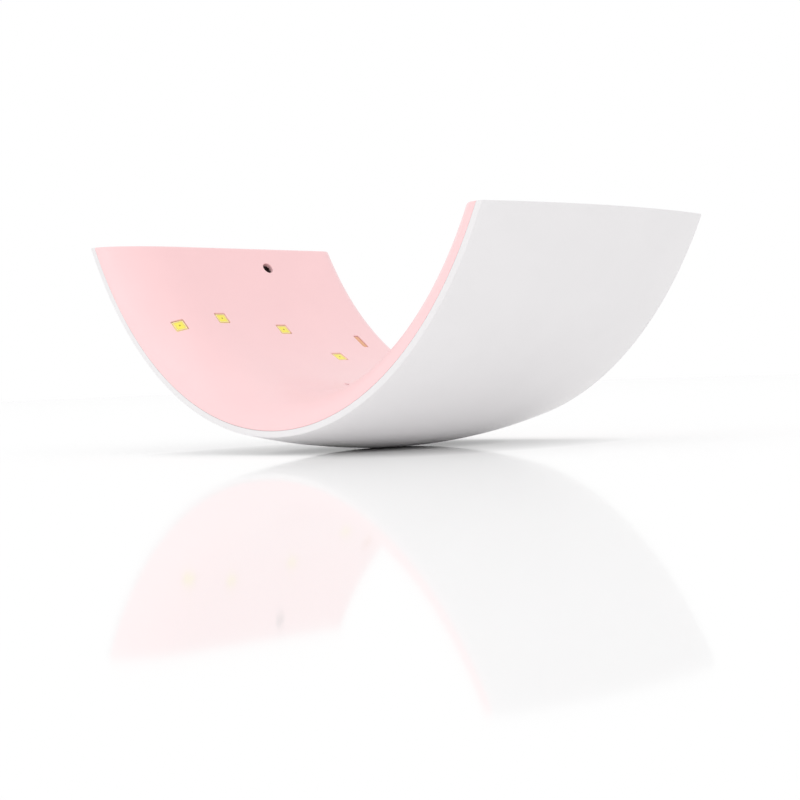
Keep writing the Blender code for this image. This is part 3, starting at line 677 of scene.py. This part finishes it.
def make_shell():
    shape = bmesh.new()
    loft(shape, shell_section, HEIGHT, ARCH_RINGS, FOOT_ROUND)
    shell = piece("shell", shape)
    stands = bmesh.new()
    holes = bmesh.new()
    add_stands(stands, holes)
    add_crown_holes(holes)
    combine(shell, piece("shell_stands", stands), "UNION")
    combine(shell, piece("shell_holes", holes), "DIFFERENCE")
    dress(shell, SHELL_FINISH, "case", "shell_white", "outer_shell")


# Liner
def lips(inset):
    """Front and rear lip of the liner, each from front to rear."""
    front = [(distance - HALF_DEPTH, offset) for distance, offset in lip(FRONT_LIP, inset)]
    rear = [(HALF_DEPTH - distance, offset) for distance, offset in reversed(lip(REAR_LIP, inset))]
    return front, rear


def liner_section(inset):
    """Section of the liner as a full solid: its face with both lips, and back along its outer edge."""
    front, rear = lips(inset)
    span = [(y, LINER_FACE - inset) for y in np.linspace(front[-1][0], rear[0][0], DEPTH_STEPS + 1)[1:-1]]
    reach = HALF_DEPTH - inset
    edge = [(y, liner_edge(y) + inset) for y in np.linspace(reach, -reach, DEPTH_STEPS + 1)]
    outline = edge[-1:] + front[1:] + span + rear[:-1] + edge[:-1]
    corners = (0, len(front + span + rear) - 1)
    return rounded(outline, corners, max(SEAM_ROUND - inset, LEAST_ROUND))


def room_section(inset):
    """Room behind the liner's face, out to the skin of the shell."""
    front, rear = lips(LINER_WALL + inset)
    depths = np.linspace(rear[-1][0], front[0][0], DEPTH_STEPS + 1)
    return front[1:] + rear[:-1] + [(y, skin(y)) for y in depths]


def add_cups(cups, holes, bores):
    """Adds the screw cups, their hollows and the shank holes in their floors."""
    low = -CUP_DEPTH - CUP_FLOOR
    for place in SCREW_FRAMES.values():
        stack(cups, place, circle_outline(CUP_RADIUS + CUP_WALL), [(0, low), (0, -LINER_WALL / 2)])
        stack(holes, place, circle_outline(CUP_RADIUS), flared(CUP_DEPTH, FLARE))
        stack(bores, place, circle_outline(SHANK_HOLE), [(0, low - SEAT), (0, -LINER_WALL)])


def add_windows(holes):
    """Adds the windows of the LEDs, the slits of the sensor lenses and the vent holes."""
    window = box_outline(LED_SIZE + 2 * WINDOW_GAP, LED_SIZE + 2 * WINDOW_GAP, WINDOW_CORNER)
    for place in LED_FRAMES.values():
        stack(holes, place, window, flared(THROUGH, WINDOW_CLEAR))
    slit = box_outline(LENS_LENGTH + 2 * LENS_GAP, LENS_WIDTH + 2 * LENS_GAP, WINDOW_CORNER)
    for place in LENS_FRAMES.values():
        stack(holes, place, slit, flared(THROUGH, WINDOW_CLEAR))
    for side in SIDES.values():
        place = face_frame(side * VENT_CROWN, HALF_DEPTH - VENT_REAR)
        stack(holes, place, circle_outline(VENT_RADIUS), flared(THROUGH, FLARE))


def add_notch(holes):
    """Adds the notch of the power socket in the rear lip."""
    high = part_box("usb_socket")[1]

    def notch(grow):
        side = high.x + SOCKET_GAP + grow
        top = high.z + SOCKET_GAP + grow
        bottom = shell_back(HALF_DEPTH - REAR_LIP)
        return rounded([(-side, bottom), (side, bottom), (side, top), (-side, top)], (2, 3), NOTCH_CORNER)

    stack(holes, REARWARD, notch, [(0, HALF_DEPTH - REAR_LIP), (0, HALF_DEPTH + THROUGH)])


def make_liner():
    shape = bmesh.new()
    loft(shape, liner_section, HEIGHT, ARCH_RINGS, FOOT_ROUND)
    body = piece("liner_shell", shape)
    room = bmesh.new()
    loft(room, room_section, HEIGHT - FOOT_WALL, ROOM_RINGS)
    combine(body, piece("liner_room", room), "DIFFERENCE")
    cups = bmesh.new()
    holes = bmesh.new()
    bores = bmesh.new()
    add_cups(cups, holes, bores)
    add_windows(holes)
    add_notch(holes)
    combine(body, piece("liner_cups", cups), "UNION")
    combine(body, piece("liner_holes", holes), "DIFFERENCE")
    combine(body, piece("liner_bores", bores), "DIFFERENCE")
    dress(body, LINER_FINISH, "case", "liner_pink", "liner")


# LEDs
def make_leds():
    """The package with its wider foot and sunk top, the low mound of phosphor in it and the die on that."""
    outline = box_outline(LED_SIZE, LED_SIZE, LED_CORNER)
    die_outline = box_outline(DIE_SIZE, DIE_SIZE, LED_EDGE)
    top = -LED_RECESS
    step = top - LED_STEP
    sunk = top - LED_RIM
    inset = LED_RIM + 2 * LED_EDGE
    package_levels = [
        (LED_FLANGE, top - LED_HEIGHT), (LED_FLANGE, step), (0, step), (0, top - LED_EDGE),
        (-LED_EDGE, top), (-LED_RIM, top), (LED_EDGE / 2 - inset, sunk),
    ]
    phosphor_levels = [(-inset, sunk + PHOSPHOR_GAP)]
    for inset_share, edge_share in PHOSPHOR_MOUND:
        phosphor_levels.append((-inset_share * inset, top - edge_share * LED_EDGE))
    die_levels = [(0, top - LED_EDGE), (0, top - DIE_TOP), (-LED_EDGE, top)]
    for name, place in LED_FRAMES.items():
        package = stacked("led_package_" + name, place, outline, package_levels)
        dress(package, PACKAGE_FINISH, "case", "led_yellow", "uv_led_" + name)
        phosphor = stacked("led_phosphor_" + name, place, outline, phosphor_levels)
        dress(phosphor, PHOSPHOR_FINISH, "case", "led_yellow")
        die = stacked("led_die_" + name, place, die_outline, die_levels)
        dress(die, DIE_FINISH, "case", "led_yellow")


# Sensor lenses
def make_lenses():
    outline = box_outline(LENS_LENGTH, LENS_WIDTH, WINDOW_CORNER - LENS_GAP / 2)
    top = -LENS_RECESS
    levels = [(0, top - LENS_DEPTH)]
    for inset, sinking in LENS_CROWN:
        levels.append((-inset * LENS_EDGE, top - sinking * LENS_EDGE))
    for name, place in LENS_FRAMES.items():
        lens = stacked("lens_" + name, place, outline, levels)
        dress(lens, LENS_FINISH, "case", "lens_brown", "sensor_lens_" + name, sharp=LENS_SHARP)


# Case screws
def lowest(node, place):
    """Height of a node's lowest point in a frame."""
    inverse = place.inverted()
    return min((inverse @ vertex.co).z for vertex in nodes[node].data.vertices)


def screw_levels(tip, head):
    """Levels of a screw from its tip up, with ridges for its thread and a round head."""
    crest = SCREW_RADIUS - SCREW_HEAD_RADIUS
    root = SCREW_RADIUS - THREAD_DEPTH - SCREW_HEAD_RADIUS
    levels = [(root - THREAD_DEPTH, tip), (root, tip + THREAD_PITCH)]
    for z in np.arange(tip + 2 * THREAD_PITCH, head - THREAD_PITCH, THREAD_PITCH):
        levels += [(crest, z - THREAD_PITCH / 4), (root, z)]
    levels += [(root, head), (0, head)]
    dome = head + SCREW_HEAD - SCREW_DOME
    for angle in np.linspace(0, SCREW_DOME_ANGLE, DOME_STEPS):
        levels.append((SCREW_HEAD_RADIUS * (math.cos(angle) - 1), dome + SCREW_DOME * math.sin(angle)))
    return levels


def make_case_screws():
    head = HEAD_SEAT - CUP_DEPTH
    top = head + SCREW_HEAD
    cross_levels = [(-CROSS_TAPER, top - CROSS_DEPTH), (CROSS_TAPER, top + CROSS_DEPTH)]
    for name, place in SCREW_FRAMES.items():
        levels = screw_levels(lowest("case_screw_" + name, place), head)
        screw = stacked("screw_" + name, place, circle_outline(SCREW_HEAD_RADIUS), levels)
        cross = stacked("screw_cross", place, cross_outline(CROSS_LENGTH, CROSS_WIDTH), cross_levels)
        combine(screw, cross, "DIFFERENCE")
        # the screw's dark maroon colour is partly painted shade of its cup
        dress(screw, BLACK_SCREW_AND_PAINTED_SHADE_FINISH, "case", "screw_steel", "case_screw_" + name)


# Timer button
def make_button():
    low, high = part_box("timer_button")
    flange = (high.x - low.x) / 2
    flange_low = high.z - BUTTON_FLANGE
    face = domed(BUTTON_RADIUS, BUTTON_EDGE, BUTTON_DISH)
    rings = [(radius, BUTTON_RECESS + depth) for radius, depth in face]
    levels = [(BUTTON_RADIUS, flange_low), (flange, flange_low), (flange, high.z)]
    shape = bmesh.new()
    crown_plug(shape, BUTTON_AT, rings, levels)
    dress(piece("button", shape), BUTTON_FINISH, "button", "button_white", "timer_button")


# Light pipe
def make_pipe():
    low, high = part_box("light_pipe")
    collar = (high.x - low.x) / 2
    collar_low = crown_height(collar, PIPE_AT.y - collar, shell_back(PIPE_AT.y - collar)) + SEAT
    collar_high = collar_low + PIPE_COLLAR
    face = domed(PIPE_RADIUS, PIPE_EDGE, -PIPE_RECESS)
    rings = [(radius, PIPE_RECESS + depth) for radius, depth in face]
    levels = [
        (PIPE_RADIUS, collar_low), (collar, collar_low), (collar, collar_high), (PIPE_RADIUS, collar_high),
        (PIPE_RADIUS, high.z),
    ]
    shape = bmesh.new()
    crown_plug(shape, PIPE_AT, rings, levels)
    dress(piece("pipe", shape), CLEAR_FINISH, "case", "clear_resin", "light_pipe")


# Power socket
def make_socket():
    low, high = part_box("usb_socket")

    def outline(grow):
        side = high.x + grow
        top = high.z + grow
        bottom = low.z - grow
        points = [
            (-side, top), (-side, bottom + SOCKET_CHAMFER), (SOCKET_CHAMFER - side, bottom),
            (side - SOCKET_CHAMFER, bottom), (side, bottom + SOCKET_CHAMFER), (side, top),
        ]
        return rounded(points, range(len(points)), SOCKET_CORNER)

    mouth = high.y - MOUTH_LENGTH
    levels = [
        (0, low.y), (0, mouth), (MOUTH_FLARE, high.y), (-MOUTH_EDGE, high.y), (-SOCKET_METAL, mouth),
        (-SOCKET_METAL, low.y),
    ]
    socket = stacked("socket", REARWARD, outline, levels, ring=True)
    dress(socket, SOCKET_FINISH, "case", "socket_steel", "usb_socket")


def make_contacts():
    low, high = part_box("usb_tongue")
    height = (low.z + high.z) / 2 - CONTACT_DROP
    outline = box_outline(CONTACT_WIDTH, CONTACT_LENGTH, CONTACT_CORNER)
    for n in range(CONTACTS):
        x = (n - (CONTACTS - 1) / 2) * CONTACT_PITCH
        place = Matrix.Translation((x, high.y - CONTACT_INSET, height))
        contact = stacked(f"contact_{n + 1}", place, outline, [(0, CONTACT_LOW), (0, CONTACT_HIGH)])
        dress(contact, CONTACT_FINISH, "case", "socket_steel")


# Stage
def by_ray(tree, seen, unseen):
    """Strength that camera, glossy and transmission rays meet as seen, and all others as unseen."""
    path = tree.nodes.new("ShaderNodeLightPath")
    total = path.outputs["Is Camera Ray"]
    for kind in ("Is Glossy Ray", "Is Transmission Ray"):
        larger = tree.nodes.new("ShaderNodeMath")
        larger.operation = "MAXIMUM"
        tree.links.new(total, larger.inputs[0])
        tree.links.new(path.outputs[kind], larger.inputs[1])
        total = larger.outputs[0]
    strength = tree.nodes.new("ShaderNodeMapRange")
    strength.inputs["To Min"].default_value = unseen
    strength.inputs["To Max"].default_value = seen
    tree.links.new(total, strength.inputs["Value"])
    return strength.outputs["Result"]


def near_shade(tree, reach):
    """Occlusion node that darkens where something stands within that reach, used to paint shade onto the
    floor.
    """
    shade = tree.nodes.new("ShaderNodeAmbientOcclusion")
    shade.inputs["Distance"].default_value = reach
    return shade


def floor_diffuse(tree):
    """White with painted shade near the object, for rays that see the floor."""
    diffuse = tree.nodes.new("ShaderNodeBsdfDiffuse")
    colour = tree.nodes.new("ShaderNodeMix")
    colour.data_type = "RGBA"
    colour.inputs["A"].default_value = (FLOOR_COLOUR, FLOOR_COLOUR, FLOOR_COLOUR, 1)
    # painted shade: where the floor is seen, occlusion darkens its colour near the object
    tree.links.new(by_ray(tree, PAINTED_SHADE_DEPTH, 0.0), colour.inputs["Factor"])
    tree.links.new(near_shade(tree, PAINTED_SHADE_REACH).outputs["Color"], colour.inputs["B"])
    tree.links.new(colour.outputs["Result"], diffuse.inputs["Color"])
    return diffuse.outputs[0]


def floor_glow(tree):
    """Light of the floor itself, which fades out where the object touches it, painting a line of shade on
    the floor where it is seen.
    """
    glow = tree.nodes.new("ShaderNodeEmission")
    strength = tree.nodes.new("ShaderNodeMath")
    strength.operation = "MULTIPLY"
    tree.links.new(by_ray(tree, FLOOR_LIFT, FLOOR_GLOW), strength.inputs[0])
    # painted shade: occlusion fades the glow by the contact, which darkens the floor as seen
    tree.links.new(near_shade(tree, CONTACT_REACH).outputs["AO"], strength.inputs[1])
    tree.links.new(strength.outputs[0], glow.inputs["Strength"])
    return glow.outputs[0]


def floor_finish():
    """Glossy white floor."""
    material = bpy.data.materials.new("floor_white")
    material.use_nodes = True
    tree = material.node_tree
    tree.nodes.clear()
    output = tree.nodes.new("ShaderNodeOutputMaterial")
    lit = tree.nodes.new("ShaderNodeAddShader")
    tree.links.new(floor_diffuse(tree), lit.inputs[0])
    tree.links.new(floor_glow(tree), lit.inputs[1])
    gloss = tree.nodes.new("ShaderNodeBsdfGlossy")
    gloss.inputs["Roughness"].default_value = FLOOR_ROUGHNESS
    blend = tree.nodes.new("ShaderNodeMixShader")
    blend.inputs["Fac"].default_value = FLOOR_GLOSS
    tree.links.new(lit.outputs[0], blend.inputs[1])
    tree.links.new(gloss.outputs[0], blend.inputs[2])
    tree.links.new(blend.outputs[0], output.inputs["Surface"])
    material.cycles.emission_sampling = "NONE"
    return material


def make_floor():
    bpy.ops.mesh.primitive_plane_add(size=FLOOR_SIZE)
    floor = bpy.context.object
    floor.name = "floor"
    floor.data.materials.append(floor_finish())


def make_world():
    world = bpy.data.worlds.new("studio")
    bpy.context.scene.world = world
    world.use_nodes = True
    tree = world.node_tree
    background = tree.nodes["Background"]
    background.inputs["Color"].default_value = (1, 1, 1, 1)
    tree.links.new(by_ray(tree, SKY_SEEN, SKY_LIGHT), background.inputs["Strength"])


def make_light(name, energy, aim):
    light = bpy.data.objects.new(name, bpy.data.lights.new(name, "SUN"))
    light.data.energy = energy
    light.data.angle = LIGHT_SPREAD
    light.rotation_euler = Vector(aim).to_track_quat("-Z", "Y").to_euler()
    bpy.context.scene.collection.objects.link(light)


def make_camera():
    camera = bpy.data.objects.new("camera", bpy.data.cameras.new("camera"))
    camera.data.lens = CAMERA_LENS
    camera.data.sensor_width = CAMERA_SENSOR
    camera.data.clip_start = CAMERA_NEAR
    turn = Matrix.Rotation(math.radians(CAMERA_HEADING), 4, "Z")
    tilt = Matrix.Rotation(math.radians(90 + CAMERA_PITCH), 4, "X")
    roll = Matrix.Rotation(math.radians(CAMERA_ROLL), 4, "Z")
    camera.matrix_world = Matrix.Translation(CAMERA_PLACE) @ turn @ tilt @ roll
    bpy.context.scene.collection.objects.link(camera)
    bpy.context.scene.camera = camera


dress_solids()
make_shell()
make_liner()
make_leds()
make_lenses()
make_case_screws()
make_button()
make_pipe()
make_socket()
make_contacts()
make_floor()
make_world()
make_light("key", KEY_LIGHT, KEY_AIM)
make_light("front", FRONT_LIGHT, FRONT_AIM)
make_camera()
bpy.context.scene.view_settings.view_transform = "Standard"
